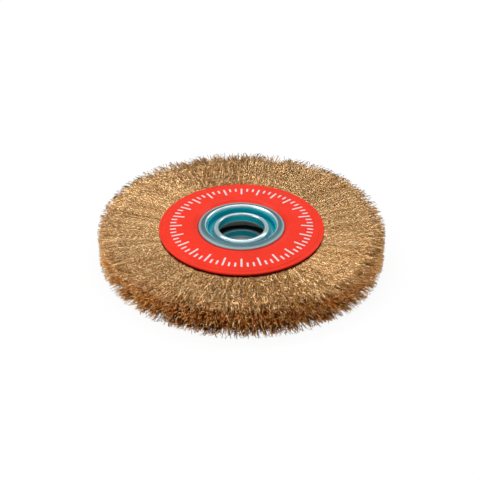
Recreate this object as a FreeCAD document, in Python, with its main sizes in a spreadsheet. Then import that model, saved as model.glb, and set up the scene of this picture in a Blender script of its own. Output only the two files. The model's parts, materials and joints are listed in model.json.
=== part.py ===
"""Crimped wire wheel brush for a bench grinder, lying flat with its spindle axis along +Z."""

import FreeCAD, Part

import math
import os

import Sketcher
from FreeCAD import Placement, Rotation, Vector

# Driving dimensions in millimetres, apart from the counts
SIZES = {
    "brush_diameter": 200,
    "brush_width": 22,
    "rim_land": 12,
    "rim_chamfer": 2,
    "bore_diameter": 32,
    "hub_pack_width": 17.6,
    "plate_diameter": 114.4,
    "plate_sheet": 1,
    "plate_bend": 0.8,
    "plate_hole_clearance": 0.15,
    "plate_seat_margin": 1.7,
    "plate_step_run": 2.5,
    "plate_step_rise": 1.2,
    "plate_cone_drop": 1.3,
    "plate_lip_width": 3.6,
    "plate_lip_run": 0.8,
    "plate_lip_drop": 0.5,
    "eyelet_diameter": 50.8,
    "eyelet_sheet": 1,
    "eyelet_flange_width": 4.4,
    "eyelet_lip_width": 1.2,
    "eyelet_edge_break": 0.4,
    "ridge_rise": 1,
    "ridge_width": 2.1,
    "ridge_round": 1.4,
    "reducer_sheet": 0.9,
    "reducer_clearance": 0.1,
    "reducer_rim_drop": 2.2,
    "bead_drop": 2,
    "bead_width": 3.6,
    "bead_round": 1,
    "bead_shoulder": 2.4,
    "bead_hollow_round": 0.25,
    "valley_depth": 4.8,
    "valley_round": 1,
    "collar_gap": 7.7,
    "core_wire": 6,
    "core_clearance": 0.1,
    "eye_flat_count": 8,
    "fold_thickness": 4,
    "fold_chamfer": 3,
    "fill_clearance": 0.1,
    "tuft_count": 24,
    "tuft_gap": 0.1,
    "strand_count": 4,
    "strand_gap": 0.3,
    "strand_root": 1,
    "crimp_depth": 1,
    "crimp_length": 14,
    "tip_depth": 2.5,
    "tip_stagger": 0.8,
}

doc = FreeCAD.newDocument("wire_wheel_brush")
sheet = doc.addObject("Spreadsheet::Sheet", "Sizes")
for row, (alias, value) in enumerate(SIZES.items(), start=1):
    sheet.set(f"A{row}", alias.replace("_", " "))
    sheet.set(f"B{row}", str(value))
    sheet.setAlias(f"B{row}", alias)
doc.recompute()

# Heights above the middle plane that several pieces share
SEAT_UNDER = "(Sizes.hub_pack_width / 2)"
SEAT_TOP = f"({SEAT_UNDER} + Sizes.plate_sheet)"
FLANGE_TOP = f"({SEAT_TOP} + Sizes.eyelet_sheet)"
RIDGE_TOP = f"({FLANGE_TOP} + Sizes.ridge_rise)"

# Radii that several pieces share
TUBE_RADIUS = "(Sizes.eyelet_diameter / 2)"
TUBE_BORE_RADIUS = f"({TUBE_RADIUS} - Sizes.eyelet_sheet)"
FLANGE_RADIUS = f"({TUBE_RADIUS} + Sizes.eyelet_flange_width)"
SEAT_RADIUS = f"({FLANGE_RADIUS} + Sizes.plate_seat_margin)"
PLATE_RADIUS = "(Sizes.plate_diameter / 2)"
BRUSH_RADIUS = "(Sizes.brush_diameter / 2)"
ROOT_RADIUS = f"({TUBE_RADIUS} + Sizes.fill_clearance)"
EYE_RADIUS = "(Sizes.core_wire / 2 + Sizes.core_clearance)"
CORE_RADIUS = f"({ROOT_RADIUS} + Sizes.fold_thickness + {EYE_RADIUS})"


def number(expression):
    """The value that an expression on the sheet has now."""
    return float(sheet.evalExpression(expression.replace("Sizes.", "")))


def bind(sketch, kind, *place, to):
    """Adds a dimension to a sketch and ties it to an expression on the sheet."""
    index = sketch.addConstraint(Sketcher.Constraint(kind, *place, number(to)))
    sketch.setExpression(f"Constraints[{index}]", to)


def pin(sketch, geometry, point, across, up):
    """Ties a point's place, measured from the sketch's origin, to two expressions."""
    bind(sketch, "DistanceX", -1, 1, geometry, point, to=across)
    bind(sketch, "DistanceY", -1, 1, geometry, point, to=up)


def new_body(name):
    """A body whose label names its file."""
    body = doc.addObject("PartDesign::Body", name)
    body.Label = name
    return body


def new_sketch(body, name, role):
    """A sketch on one of the body's own origin planes."""
    sketch = body.newObject("Sketcher::SketchObject", name)
    plane = next(item for item in body.Origin.OriginFeatures if item.Role == role)
    sketch.AttachmentSupport = [(plane, "")]
    sketch.MapMode = "FlatFace"
    return sketch


def signed_angle(before, after):
    """The turn from one direction to the next in a sketch, positive to the left."""
    return math.atan2(before.cross(after).z, before.dot(after))


def draw_outline(sketch, corners):
    """Draws a closed outline from corners of (across, up, round), where round may be None."""
    points = [Vector(number(across), number(up), 0) for across, up, _ in corners]
    count = len(points)
    forward = [(points[(i + 1) % count] - points[i]).normalize() for i in range(count)]
    turns = [signed_angle(forward[i - 1], forward[i]) for i in range(count)]
    radii = [number(corner[2]) if corner[2] else 0 for corner in corners]
    setbacks = [radii[i] * math.tan(abs(turns[i]) / 2) for i in range(count)]
    first = sketch.GeometryCount
    for i in range(count):
        following = (i + 1) % count
        start = points[i] + forward[i] * setbacks[i]
        end = points[following] - forward[i] * setbacks[following]
        sketch.addGeometry(Part.LineSegment(start, end))
    for i, (across, up, rounding) in enumerate(corners):
        before = first + (i - 1) % count
        after = first + i
        if rounding is None:
            sketch.addConstraint(Sketcher.Constraint("Coincident", before, 2, after, 1))
            pin(sketch, after, 1, across, up)
            continue
        side = math.copysign(1, turns[i])
        to_centre = Vector(-forward[i - 1].y, forward[i - 1].x, 0) * side * radii[i]
        centre = points[i] - forward[i - 1] * setbacks[i] + to_centre
        begin = math.atan2(-to_centre.y, -to_centre.x)
        span = sorted((begin, begin + turns[i]))
        circle = Part.Circle(centre, Vector(0, 0, 1), radii[i])
        arc = sketch.addGeometry(Part.ArcOfCircle(circle, *span))
        entry, leave = (1, 2) if side > 0 else (2, 1)
        sketch.addConstraint(Sketcher.Constraint("Tangent", before, 2, arc, entry))
        sketch.addConstraint(Sketcher.Constraint("Tangent", arc, leave, after, 1))
        bind(sketch, "Radius", arc, to=rounding)
        corner = sketch.addGeometry(Part.Point(points[i]), True)
        sketch.addConstraint(Sketcher.Constraint("PointOnObject", corner, 1, before))
        sketch.addConstraint(Sketcher.Constraint("PointOnObject", corner, 1, after))
        pin(sketch, corner, 1, across, up)


def mirrored(corners):
    """The same corners below the middle plane, in the order that closes the outline."""
    return [(across, f"-{up}", rounding) for across, up, rounding in reversed(corners)]


def turn_profile(body, sketch, angle="360"):
    """Turns a sketch on the XZ plane about the spindle axis, evenly to both sides of it."""
    turned = body.newObject("PartDesign::Revolution", f"{body.Name}_turned")
    turned.Profile = sketch
    turned.ReferenceAxis = (sketch, ["V_Axis"])
    turned.Midplane = True
    turned.setExpression("Angle", angle)


def flip_over(body):
    """Turns a body over onto the brush's lower side."""
    body.Placement = Placement(Vector(), Rotation(Vector(1, 0, 0), 180))


def plate_line(height):
    """A face plate's line from the edge of its seat out to its rim, at a height over the seat."""
    step_top = f"({height} + Sizes.plate_step_rise)"
    cone_end = f"({step_top} - Sizes.plate_cone_drop)"
    cone_radius = f"({PLATE_RADIUS} - Sizes.plate_lip_width)"
    lip_height = f"({cone_end} - Sizes.plate_lip_drop)"
    return [
        (SEAT_RADIUS, height),
        (f"({SEAT_RADIUS} + Sizes.plate_step_run)", step_top),
        (cone_radius, cone_end),
        (f"({cone_radius} + Sizes.plate_lip_run)", lip_height),
        (PLATE_RADIUS, lip_height),
    ]


def face_plate(name):
    """Dished sheet plate with a seat for the eyelet's flange, a step, a shallow cone and a stepped lip."""
    body = new_body(name)
    sketch = new_sketch(body, f"{name}_profile", "XZ_Plane")
    inner_bend = "Sizes.plate_bend"
    outer_bend = "(Sizes.plate_bend + Sizes.plate_sheet)"
    hole = f"({TUBE_RADIUS} + Sizes.plate_hole_clearance)"
    upper = [(hole, SEAT_TOP), *plate_line(SEAT_TOP)]
    under = [(hole, SEAT_UNDER), *plate_line(SEAT_UNDER)]
    upper_bends = (None, inner_bend, outer_bend, None, None, None)
    under_bends = (None, outer_bend, inner_bend, None, None, None)
    corners = [(*place, bend) for place, bend in zip(upper, upper_bends)]
    corners += [(*place, bend) for place, bend in zip(under[::-1], under_bends[::-1])]
    draw_outline(sketch, corners)
    turn_profile(body, sketch)
    return body


def arbor_eyelet(name):
    """Tube through the brush, with both ends rolled out over the face plates to a raised ridge."""
    body = new_body(name)
    sketch = new_sketch(body, f"{name}_profile", "XZ_Plane")
    lip_start = f"({FLANGE_RADIUS} - Sizes.eyelet_lip_width)"
    ridge_edge = f"({TUBE_BORE_RADIUS} + Sizes.ridge_width)"
    ridge_under = f"({RIDGE_TOP} - Sizes.eyelet_sheet)"
    upper = [
        (TUBE_RADIUS, ridge_under, None),
        (ridge_edge, ridge_under, None),
        (lip_start, SEAT_TOP, None),
        (FLANGE_RADIUS, SEAT_TOP, None),
        (FLANGE_RADIUS, f"({FLANGE_TOP} - Sizes.eyelet_edge_break)", None),
        (f"({FLANGE_RADIUS} - Sizes.eyelet_edge_break)", FLANGE_TOP, None),
        (lip_start, FLANGE_TOP, None),
        (ridge_edge, RIDGE_TOP, None),
        (TUBE_BORE_RADIUS, RIDGE_TOP, "Sizes.ridge_round"),
    ]
    draw_outline(sketch, upper + mirrored(upper))
    turn_profile(body, sketch)
    return body


def bore_reducer(name):
    """Pressed cup in the eyelet: an outer wall, a valley, a round bead and the bore's collar."""
    body = new_body(name)
    sketch = new_sketch(body, f"{name}_profile", "XZ_Plane")
    bore = "(Sizes.bore_diameter / 2)"
    collar_end = "(Sizes.collar_gap / 2)"
    bead_top = f"({RIDGE_TOP} - Sizes.bead_drop)"
    bead_under = f"({bead_top} - Sizes.reducer_sheet)"
    bead_side = f"({bore} + Sizes.bead_width)"
    hollow_side = f"({bead_side} - Sizes.reducer_sheet)"
    collar_back = f"({bore} + Sizes.reducer_sheet)"
    floor_top = f"({bead_top} - Sizes.valley_depth)"
    floor_under = f"({floor_top} - Sizes.reducer_sheet)"
    rim_top = f"({RIDGE_TOP} - Sizes.reducer_rim_drop)"
    wall = f"({TUBE_BORE_RADIUS} - Sizes.reducer_clearance)"
    wall_inside = f"({wall} - Sizes.reducer_sheet)"
    hollow_width = f"({hollow_side} - {collar_back})"
    bead_round = "min(Sizes.bead_round; 0.3 * Sizes.bead_width)"
    bead_shoulder = "min(Sizes.bead_shoulder; 0.68 * Sizes.bead_width; 0.55 * Sizes.valley_depth)"
    hollow_round = f"min(Sizes.bead_hollow_round; 0.15 * {hollow_width})"
    hollow_shoulder = f"min({bead_shoulder} - Sizes.reducer_sheet; 0.84 * {hollow_width})"
    valley_width = f"({wall_inside} - {bead_side})"
    valley_round = f"min(Sizes.valley_round; 0.45 * {valley_width}; 0.35 * Sizes.valley_depth)"
    outer_valley_round = f"({valley_round} + Sizes.reducer_sheet)"
    draw_outline(
        sketch,
        [
            (bore, collar_end, None),
            (bore, bead_top, bead_round),
            (bead_side, bead_top, bead_shoulder),
            (bead_side, floor_top, valley_round),
            (wall_inside, floor_top, valley_round),
            (wall_inside, rim_top, None),
            (wall, rim_top, None),
            (wall, floor_under, outer_valley_round),
            (hollow_side, floor_under, outer_valley_round),
            (hollow_side, bead_under, hollow_shoulder),
            (collar_back, bead_under, hollow_round),
            (collar_back, collar_end, None),
        ],
    )
    turn_profile(body, sketch)
    return body


def core_ring(name):
    """Wire ring over which the tufts are doubled."""
    ring = doc.addObject("Part::Torus", name)
    ring.Label = name
    ring.setExpression("Radius1", CORE_RADIUS)
    ring.setExpression("Radius2", "Sizes.core_wire / 2")
    return ring


def polar(radius, angle):
    """A point at a radius and an angle in degrees, as two expressions."""
    return f"{radius} * cos({angle})", f"{radius} * sin({angle})"


def strand_wall(boundary, side, gap):
    """One crimped wall of a strand in plan, beside a boundary and half a gap away, from inside out."""
    start = f"({PLATE_RADIUS} + Sizes.strand_root)"
    end = f"({BRUSH_RADIUS} - Sizes.tip_depth)"
    half_wave_count = round((number(end) - number(start)) / number("Sizes.crimp_length / 2"))
    points = []
    for k in range(half_wave_count + 1):
        radius = f"({start} + ({end} - {start}) * {k} / {half_wave_count})"
        sway = "-" if k % 2 else "+"
        offset = f"({sway}Sizes.crimp_depth / 2 + {side} * {gap} / 2) / {radius} * 180 / pi"
        points.append(polar(radius, f"{strand_angle(boundary)} + {offset}"))
    return points


def strand_angle(boundary):
    """The angle of a boundary between strands, counted from one side of the tuft."""
    return f"360 / Sizes.tuft_count * ({boundary} / Sizes.strand_count - 0.5)"


def tuft_plan():
    """A tuft in plan: its plain sides under the plates, then strands that end in long and short tips."""
    strand_count = int(number("Sizes.strand_count"))
    plan = [polar(TUBE_BORE_RADIUS, strand_angle(0))]
    for strand in range(strand_count):
        tip = f"({BRUSH_RADIUS} - Sizes.tip_stagger)" if strand % 2 else BRUSH_RADIUS
        first_gap = "Sizes.strand_gap" if strand > 0 else "Sizes.tuft_gap"
        last_gap = "Sizes.strand_gap" if strand < strand_count - 1 else "Sizes.tuft_gap"
        plan += strand_wall(strand, 1, first_gap)
        plan.append(polar(tip, strand_angle(strand + 0.5)))
        plan += strand_wall(strand + 1, -1, last_gap)[::-1]
    plan.append(polar(TUBE_BORE_RADIUS, strand_angle(strand_count)))
    return plan


def tuft_section():
    """The upper half of a tuft's section, from the fold out along the plate to the chamfered rim."""
    fold_top = f"({SEAT_UNDER} - Sizes.fill_clearance)"
    rim_top = "(Sizes.brush_width / 2)"
    return [
        (ROOT_RADIUS, f"({fold_top} - Sizes.fold_chamfer)"),
        (f"({ROOT_RADIUS} + Sizes.fold_chamfer)", fold_top),
        *plate_line(fold_top),
        (f"({BRUSH_RADIUS} - Sizes.rim_land)", rim_top),
        (f"({BRUSH_RADIUS} - Sizes.rim_chamfer)", rim_top),
        (BRUSH_RADIUS, f"({rim_top} - Sizes.rim_chamfer)"),
    ]


def tuft_eye():
    """The eye for the core ring, with flats that lie against it."""
    flat_count = int(number("Sizes.eye_flat_count"))
    reach = f"({EYE_RADIUS} / cos(180 / Sizes.eye_flat_count))"
    eye = []
    for k in range(flat_count):
        across, up = polar(reach, f"360 * ({k} + 0.5) / Sizes.eye_flat_count")
        eye.append((f"({CORE_RADIUS} + {across})", up))
    return eye


def wire_tuft(name):
    """Hank of crimped wire folded over the core ring, pinched by the plates and flared to the rim."""
    body = new_body(name)
    section = new_sketch(body, f"{name}_section", "XZ_Plane")
    upper = [(*place, None) for place in tuft_section()]
    draw_outline(section, upper + mirrored(upper))
    draw_outline(section, [(*place, None) for place in tuft_eye()])
    turn_profile(body, section, "2 * 360 / Sizes.tuft_count")

    trim = new_sketch(body, f"{name}_trim", "XY_Plane")
    draw_outline(trim, [(*place, None) for place in tuft_plan()])
    beyond = f"(2 * {BRUSH_RADIUS})"
    aside = BRUSH_RADIUS
    surround = [("0", f"-{aside}"), (beyond, f"-{aside}"), (beyond, aside), ("0", aside)]
    draw_outline(trim, [(*place, None) for place in surround])
    cut = body.newObject("PartDesign::Pocket", f"{name}_cut")
    cut.Profile = trim
    cut.SideType = "Symmetric"
    cut.setExpression("Length", "2 * Sizes.brush_width + Sizes.hub_pack_width")
    return body


def copy_of(body, name):
    """A second body that repeats the first one's shape."""
    repeat = new_body(name)
    base = doc.addObject("PartDesign::FeatureBase", f"{name}_base")
    base.BaseFeature = body
    repeat.Group = [base]
    repeat.Tip = base
    return repeat


def place_round(body, index):
    """Turns a tuft to its place in the ring."""
    body.setExpression("Placement.Rotation.Angle", f"{index} * 360 / Sizes.tuft_count")


upper_plate = face_plate("upper_face_plate")
lower_plate = copy_of(upper_plate, "lower_face_plate")
flip_over(lower_plate)
eyelet = arbor_eyelet("arbor_eyelet")
upper_reducer = bore_reducer("upper_bore_reducer")
lower_reducer = copy_of(upper_reducer, "lower_bore_reducer")
flip_over(lower_reducer)
pieces = [upper_plate, lower_plate, eyelet, upper_reducer, lower_reducer, core_ring("core_ring")]
first_tuft = wire_tuft("wire_tuft_01")
pieces.append(first_tuft)
for index in range(1, int(number("Sizes.tuft_count"))):
    tuft = copy_of(first_tuft, f"wire_tuft_{index + 1:02d}")
    place_round(tuft, index)
    pieces.append(tuft)
doc.recompute()

for item in doc.Objects:
    if "Invalid" in item.State or "Error" in item.State:
        raise RuntimeError(f"{item.Label} did not build: {item.State}")
os.makedirs("parts", exist_ok=True)
for piece in pieces:
    if piece.Shape.isNull() or not piece.Shape.isValid() or len(piece.Shape.Solids) != 1:
        raise RuntimeError(f"{piece.Label} is not one valid solid")
for piece in pieces:
    piece.Shape.exportStep(f"parts/{piece.Label}.step")
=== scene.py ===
import json
import math

import bpy
import numpy
from bpy.props import FloatProperty, FloatVectorProperty, IntProperty, PointerProperty
from bpy.types import Operator, Panel, PropertyGroup
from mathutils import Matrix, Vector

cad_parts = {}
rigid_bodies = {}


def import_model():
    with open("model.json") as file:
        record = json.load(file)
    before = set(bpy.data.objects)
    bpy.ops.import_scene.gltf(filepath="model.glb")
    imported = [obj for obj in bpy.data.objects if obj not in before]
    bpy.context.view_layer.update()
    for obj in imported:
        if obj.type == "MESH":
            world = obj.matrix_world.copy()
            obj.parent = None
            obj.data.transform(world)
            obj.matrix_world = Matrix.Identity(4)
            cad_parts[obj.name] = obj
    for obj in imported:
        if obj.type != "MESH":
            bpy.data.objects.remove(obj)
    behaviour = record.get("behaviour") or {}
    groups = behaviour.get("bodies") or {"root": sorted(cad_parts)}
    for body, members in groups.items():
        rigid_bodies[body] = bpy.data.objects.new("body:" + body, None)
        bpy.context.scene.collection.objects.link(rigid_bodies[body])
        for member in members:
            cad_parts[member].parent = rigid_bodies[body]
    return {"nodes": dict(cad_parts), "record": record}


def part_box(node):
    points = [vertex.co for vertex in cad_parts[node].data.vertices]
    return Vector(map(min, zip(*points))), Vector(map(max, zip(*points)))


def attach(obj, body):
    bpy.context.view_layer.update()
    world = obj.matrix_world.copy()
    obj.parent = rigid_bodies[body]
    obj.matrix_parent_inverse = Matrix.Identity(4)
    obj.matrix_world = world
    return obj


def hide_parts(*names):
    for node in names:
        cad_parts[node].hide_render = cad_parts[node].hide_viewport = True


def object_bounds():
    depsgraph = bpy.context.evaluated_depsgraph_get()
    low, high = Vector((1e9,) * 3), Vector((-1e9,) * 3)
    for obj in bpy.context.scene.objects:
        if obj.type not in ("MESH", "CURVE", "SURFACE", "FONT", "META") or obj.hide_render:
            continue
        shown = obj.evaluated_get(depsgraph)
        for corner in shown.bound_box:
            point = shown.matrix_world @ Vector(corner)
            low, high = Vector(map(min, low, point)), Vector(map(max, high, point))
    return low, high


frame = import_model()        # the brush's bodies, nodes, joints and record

bl_info = {
    "name": "Wire Wheel Brush",
    "version": (1, 0, 0),
    "blender": (4, 5, 0),
    "location": "3D View > Sidebar > Wire Brush",
    "description": "Fills the wheel brush with crimped wire, paints its plates and plates its hub",
    "category": "Object",
}

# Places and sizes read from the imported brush, in metres
MM = 0.001
CAD_LOW, CAD_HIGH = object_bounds()
TUFTS = sorted(name for name in frame["nodes"] if name.startswith("wire_tuft_"))
BRUSH_RADIUS = CAD_HIGH.x
FILL_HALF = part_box(TUFTS[0])[1].z
PLATE_LOW, PLATE_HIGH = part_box("upper_face_plate")
PLATE_RADIUS = PLATE_HIGH.x
RING_LOW, RING_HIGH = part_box("core_ring")
RING_WIRE = RING_HIGH.z - RING_LOW.z
RING_RADIUS = RING_HIGH.x - RING_WIRE / 2
EYELET_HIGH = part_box("arbor_eyelet")[1]
REDUCER_LOW, REDUCER_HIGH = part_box("upper_bore_reducer")
MOUNTS = {mount["name"]: mount for mount in frame["record"]["mounts"]}
BORE_RADIUS = MOUNTS["bore"]["dims"]["r_mm"] * MM
FLOOR_HEIGHT = CAD_LOW.z
SECTOR = 2 * math.pi / len(TUFTS)

# Proportions of the wires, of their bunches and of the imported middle
CORNERS = 3
CRIMP_BENDS = 2
FOLD_HEIGHT = 6.9 * MM
FOLD_STEPS = 8
FOLD_CLEARANCE = 0.2 * MM
CORE_SLIT = 0.05 * MM
CLUMP_REACH = 1.1
CLUMP_CROWDING = 0.6
SPIKES_INSIDE, SPIKES_TO_FACE = 0.3, 1.5
STRAY_CUT = 0.5
BUNCH_CUT, OWN_CUT = 0.7, 0.3
SPIKE_HOLD = (0.8, 0.97)
BODY_HOLD = (0.1, 0.5)
TIP_GAP = 0.1 * MM
LOOSE_AFTER = 2 * MM
LOOSE_POWER = 1.5
FREE_AFTER = 4 * MM
FREE_LEAST = 0.15
CALM_TIPS = 0.7
CRIMP_SIZES = (0.4, 1.6)
CRIMP_SHIFT = (-0.9, 0.9)
PLANE_SHIFT = (-0.25, 0.25)
GAUGES = (0.85, 1.15)
FACE_PLAY = 0.7 * MM
START_SPREAD = 3 * MM

# Proportions of the long wires on the faces and of the wire ends in the rim
FACE_STRAY = (-1, 2)
FACE_DEPTH, FACE_SINK, STRAND_SINK = 0.94, 0.12, 0.03
STRAND_LIMIT = 2
FACE_TONES = (0.25, 0.75)
STRAND_TONE, COMBED_TONE = 0.05, 0.15
RIM_SPREAD = (-0.56, 0.56)
RIM_DEPTHS = (-0.97, 0.97)
RIM_CRIMP = 0.5
# Painted shade and bounce light: how deep in the rim, and how strongly, wire ends turn orange-brown
AMBER_EDGE, AMBER_FADE, AMBER_TONE = 0.82, 0.35, 1.1

# Bands of a tuft's map: columns, low and high edge
LONG_BAND = (4, 0.40, 1.0)
SHORT_BAND = (14, 0.06, 0.40)
CORE_BAND = 0.05

# Material slots of a tuft
COATED_SLOT, PACKED_SLOT = 0, 1

# Rounding of a printed bar's corners
BAR_ROUNDING = 0.25
BAR_ROUND_STEPS = 3

# Floor and backdrop
FLOOR_SIZE = 6.0
FLOOR_GLOW, HUB_GLOW = 0.9, 0.1
BACKDROP_TOP, CEILING_FROM = 0.3, 0.75

# Lamps: name, place, width and height, setting for the power and share of it
LAMPS = (
    ("overhead_lamp", (-0.15, 0.5, 1.1), (2.6, 0.3), "key", 1.0),
    ("front_lamp", (0, -0.35, 1.2), (1.8, 0.4), "key", 0.42),
    ("left_lamp", (-0.9, -0.45, 0.3), (0.6, 0.3), "sides", 1.0),
    ("right_lamp", (0.9, 0.36, 0.55), (0.45, 0.45), "sides", 0.375),
)

# The picture's side and its shift, in pixels
PICTURE_SIDE = 480
PICTURE_SHIFT_X, PICTURE_SHIFT_Y = -1.5, -2.0


# Settings

def length(name, description, default):
    """A size in metres, shown in the scene's own unit."""
    return FloatProperty(name=name, description=description, default=default, unit="LENGTH", precision=5)


def colour(name, description, default):
    """A linear colour without alpha."""
    return FloatVectorProperty(
        name=name, description=description, default=default, subtype="COLOR", min=0.0, max=1.0
    )


def share(name, description, default):
    """A part of one."""
    return FloatProperty(
        name=name, description=description, default=default, subtype="FACTOR", min=0.0, max=1.0
    )


def direction(name, description, default):
    """An angle in radians, shown in degrees."""
    return FloatProperty(name=name, description=description, default=default, subtype="ANGLE")


def measure(name, description, default):
    """A number without a unit of its own."""
    return FloatProperty(name=name, description=description, default=default)


def whole(name, description, default):
    """A number of things."""
    return IntProperty(name=name, description=description, default=default)


class BrushWireSettings(PropertyGroup):
    """The crimped wire of the tufts."""

    thickness: length("Wire", "Diameter of the wire", 0.42 * MM)
    crimp_depth: length("Crimp depth", "How far a crimp stands off the wire's line", 1.0 * MM)
    unevenness: length("Unevenness", "How far a crimp strays from its place", 0.35 * MM)
    face_wires: whole("Face wires", "Long wires on each face of a tuft", 164)
    face_bends: whole("Face bends", "Bends along a long wire, two to a crimp", 21)
    rim_wires: whole("Rim wires", "Wire ends in a tuft's rim", 1100)
    rim_bends: whole("Rim bends", "Bends along a wire end, two to a crimp", 5)
    clumps: whole("Clumps", "Bunches of wire ends in a tuft", 26)
    spikes: share("Spikes", "Part of the wires that reach the rim in pointed bunches", 0.5)
    strays: share("Strays", "Part of the wires that no bunch holds", 0.09)
    face_start: length("Face start", "Radius under the plate where long wires start", PLATE_RADIUS - 4 * MM)
    rim_start: length("Rim start", "Radius inside the fill from which wire ends run", 83 * MM)
    root_half: length("Root height", "Half the fill's thickness at the plate's lip", PLATE_LOW.z - 0.4 * MM)
    full_radius: length("Full radius", "Radius from which the fill has its full thickness", 88 * MM)
    droop: length("Droop", "How far the faces fall off from there to the rim", 0.1 * MM)
    wander: direction("Wander", "How far a wire strays from its own line", 0.05)
    splay: direction("Splay", "How far a stray wire's end leans over", 0.3)
    body_cut: length("Body cut", "How far inside the rim most wires end", 4.4 * MM)
    body_spread: length("Body spread", "How unevenly most wires are cut", 2.4 * MM)
    edge_cut: length("Edge cut", "How much further inside the rim they end along the faces' edges", 3.0 * MM)
    spike_spread: length("Spike spread", "How unevenly the pointed bunches are cut", 1.0 * MM)
    spike_point: length("Spike point", "How far a bunch tapers to its point", 7.0 * MM)
    spike_width: length("Spike width", "How far from its middle a bunch takes in wires", 2.4 * MM)
    out_of_round: FloatVectorProperty(
        name="Out of round", description="How far the tufts between the axes stand out, quarter by quarter",
        default=(0.7 * MM, 1.7 * MM, -0.5 * MM, 1.8 * MM), size=4, subtype="XYZ_LENGTH"
    )
    core_depth: length("Core depth", "How deep the tightly packed wire lies under the faces", 2.6 * MM)
    core_radius: length("Core radius", "How far out the tightly packed wire reaches", 88 * MM)
    bright: colour("Bright wire", "Brass coating where it is clean", (1.0, 0.73, 0.41))
    dull: colour("Dull wire", "Brass coating where it is tarnished", (0.60, 0.305, 0.085))
    cut: colour("Cut ends", "Bare steel at the wires' ends", (0.68, 0.40, 0.19))
    # Painted shade and bounce light: orange-brown for wire ends lying inside the rim
    shaded_amber: colour("Amber wire", "Brass coating between the wire ends of the rim", (0.92, 0.42, 0.085))
    # Painted shade: the packed core's dark colour stands for shaded wire deep in the tuft
    deep: colour("Packed wire", "Wire deep in the tuft", (0.085, 0.042, 0.02))
    unshaded_ends: share("Clean ends", "Part of the rim's wire ends that are as clean as the faces", 0.25)
    strand: whole("Strand", "Neighbouring long wires of like tarnish", 5)
    # Painted shade: the wires are made darker towards one side of the brush
    side_shade: measure("Uneven tarnish", "How much more one side of the brush is tarnished", 0.06)
    shaded_side: direction("Tarnished side", "Direction of the more tarnished side", math.radians(290))
    seed: whole("Seed", "Start of the draws that place the wires", 11)


class BrushPlateSettings(PropertyGroup):
    """The paint and the printed scale on the face plates."""

    paint: colour("Paint", "Red of the plates", (0.77, 0.031, 0.013))
    worn: colour("Worn paint", "Red where it is rubbed on the lip's edge", (0.45, 0.02, 0.014))
    # Painted shadow: darker red for the ring of paint beside the eyelet's flange
    corner: colour("Corner", "Red in the corner beside the eyelet", (0.16, 0.006, 0.004))
    ink: colour("Ink", "White of the printed scale", (0.66, 0.56, 0.55))
    thin_ink: colour("Thin ink", "White that lets the red through", (0.86, 0.45, 0.42))
    scale_inner: length("Scale inside", "Inner radius of the printed scale", 41.3 * MM)
    scale_outer: length("Scale outside", "Outer radius of the printed scale", 49.7 * MM)
    bar_width: length("Bar width", "Width of a printed bar", 1.3 * MM)
    ink_thickness: length("Ink thickness", "Thickness of the print", 0.06 * MM)
    bars: whole("Bars", "Bars round the scale", 72)
    long_every: whole("Long bar every", "Bars from one long bar to the next", 3)


class BrushHubSettings(PropertyGroup):
    """The zinc plating of the hub and the steel inside it."""

    # Painted highlight: silver stands for light caught inside the eyelet's ridge and on its edge
    silver: colour("Silver", "Plating where it is burnished", (0.75, 0.84, 0.87))
    grey: colour("Grey", "Plating on the eyelet's flange", (0.07, 0.16, 0.18))
    teal: colour("Teal", "Plating with its blue tint", (0.004, 0.44, 0.53))
    # Painted highlight: pewter stands for light caught on the reducer's bead and collar edge
    pewter: colour("Pewter", "Plating on the reducer's bead", (0.50, 0.64, 0.68))
    bare: colour("Bare", "Steel of the tube inside the bore", (0.62, 0.60, 0.53))
    # Painted shade: near black for the cups' inner sides, in the hub's closed cavity
    dark: colour("Dark", "Unplated inner side of the cups", (0.012, 0.018, 0.018))
    drawn: colour("Drawn steel", "Wire of the core ring", (0.30, 0.29, 0.28))
    drawn_dark: colour("Dark drawn steel", "Darker grain of the core ring", (0.16, 0.15, 0.14))


class BrushStageSettings(PropertyGroup):
    """The floor, the lamps and the camera."""

    floor: colour("Floor", "Colour of the floor", (0.9, 0.9, 0.9))
    distance: length("Distance", "From the brush's middle to the camera", 0.9)
    elevation: direction("Elevation", "Height of the view", math.radians(33.4))
    lens: measure("Lens", "Focal length in millimetres", 96.7)
    sky: measure("Sky", "Strength of the light from all round", 0.5)
    backdrop: measure("Backdrop", "Strength of what metal sees all round", 0.5)
    ceiling: measure("Ceiling", "Strength of what metal sees overhead", 0.35)
    key: measure("Key", "Power of the lamp overhead, in watts", 11.4)
    sides: measure("Sides", "Power of the lamp on the left, in watts", 3.6)


# Materials

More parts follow.
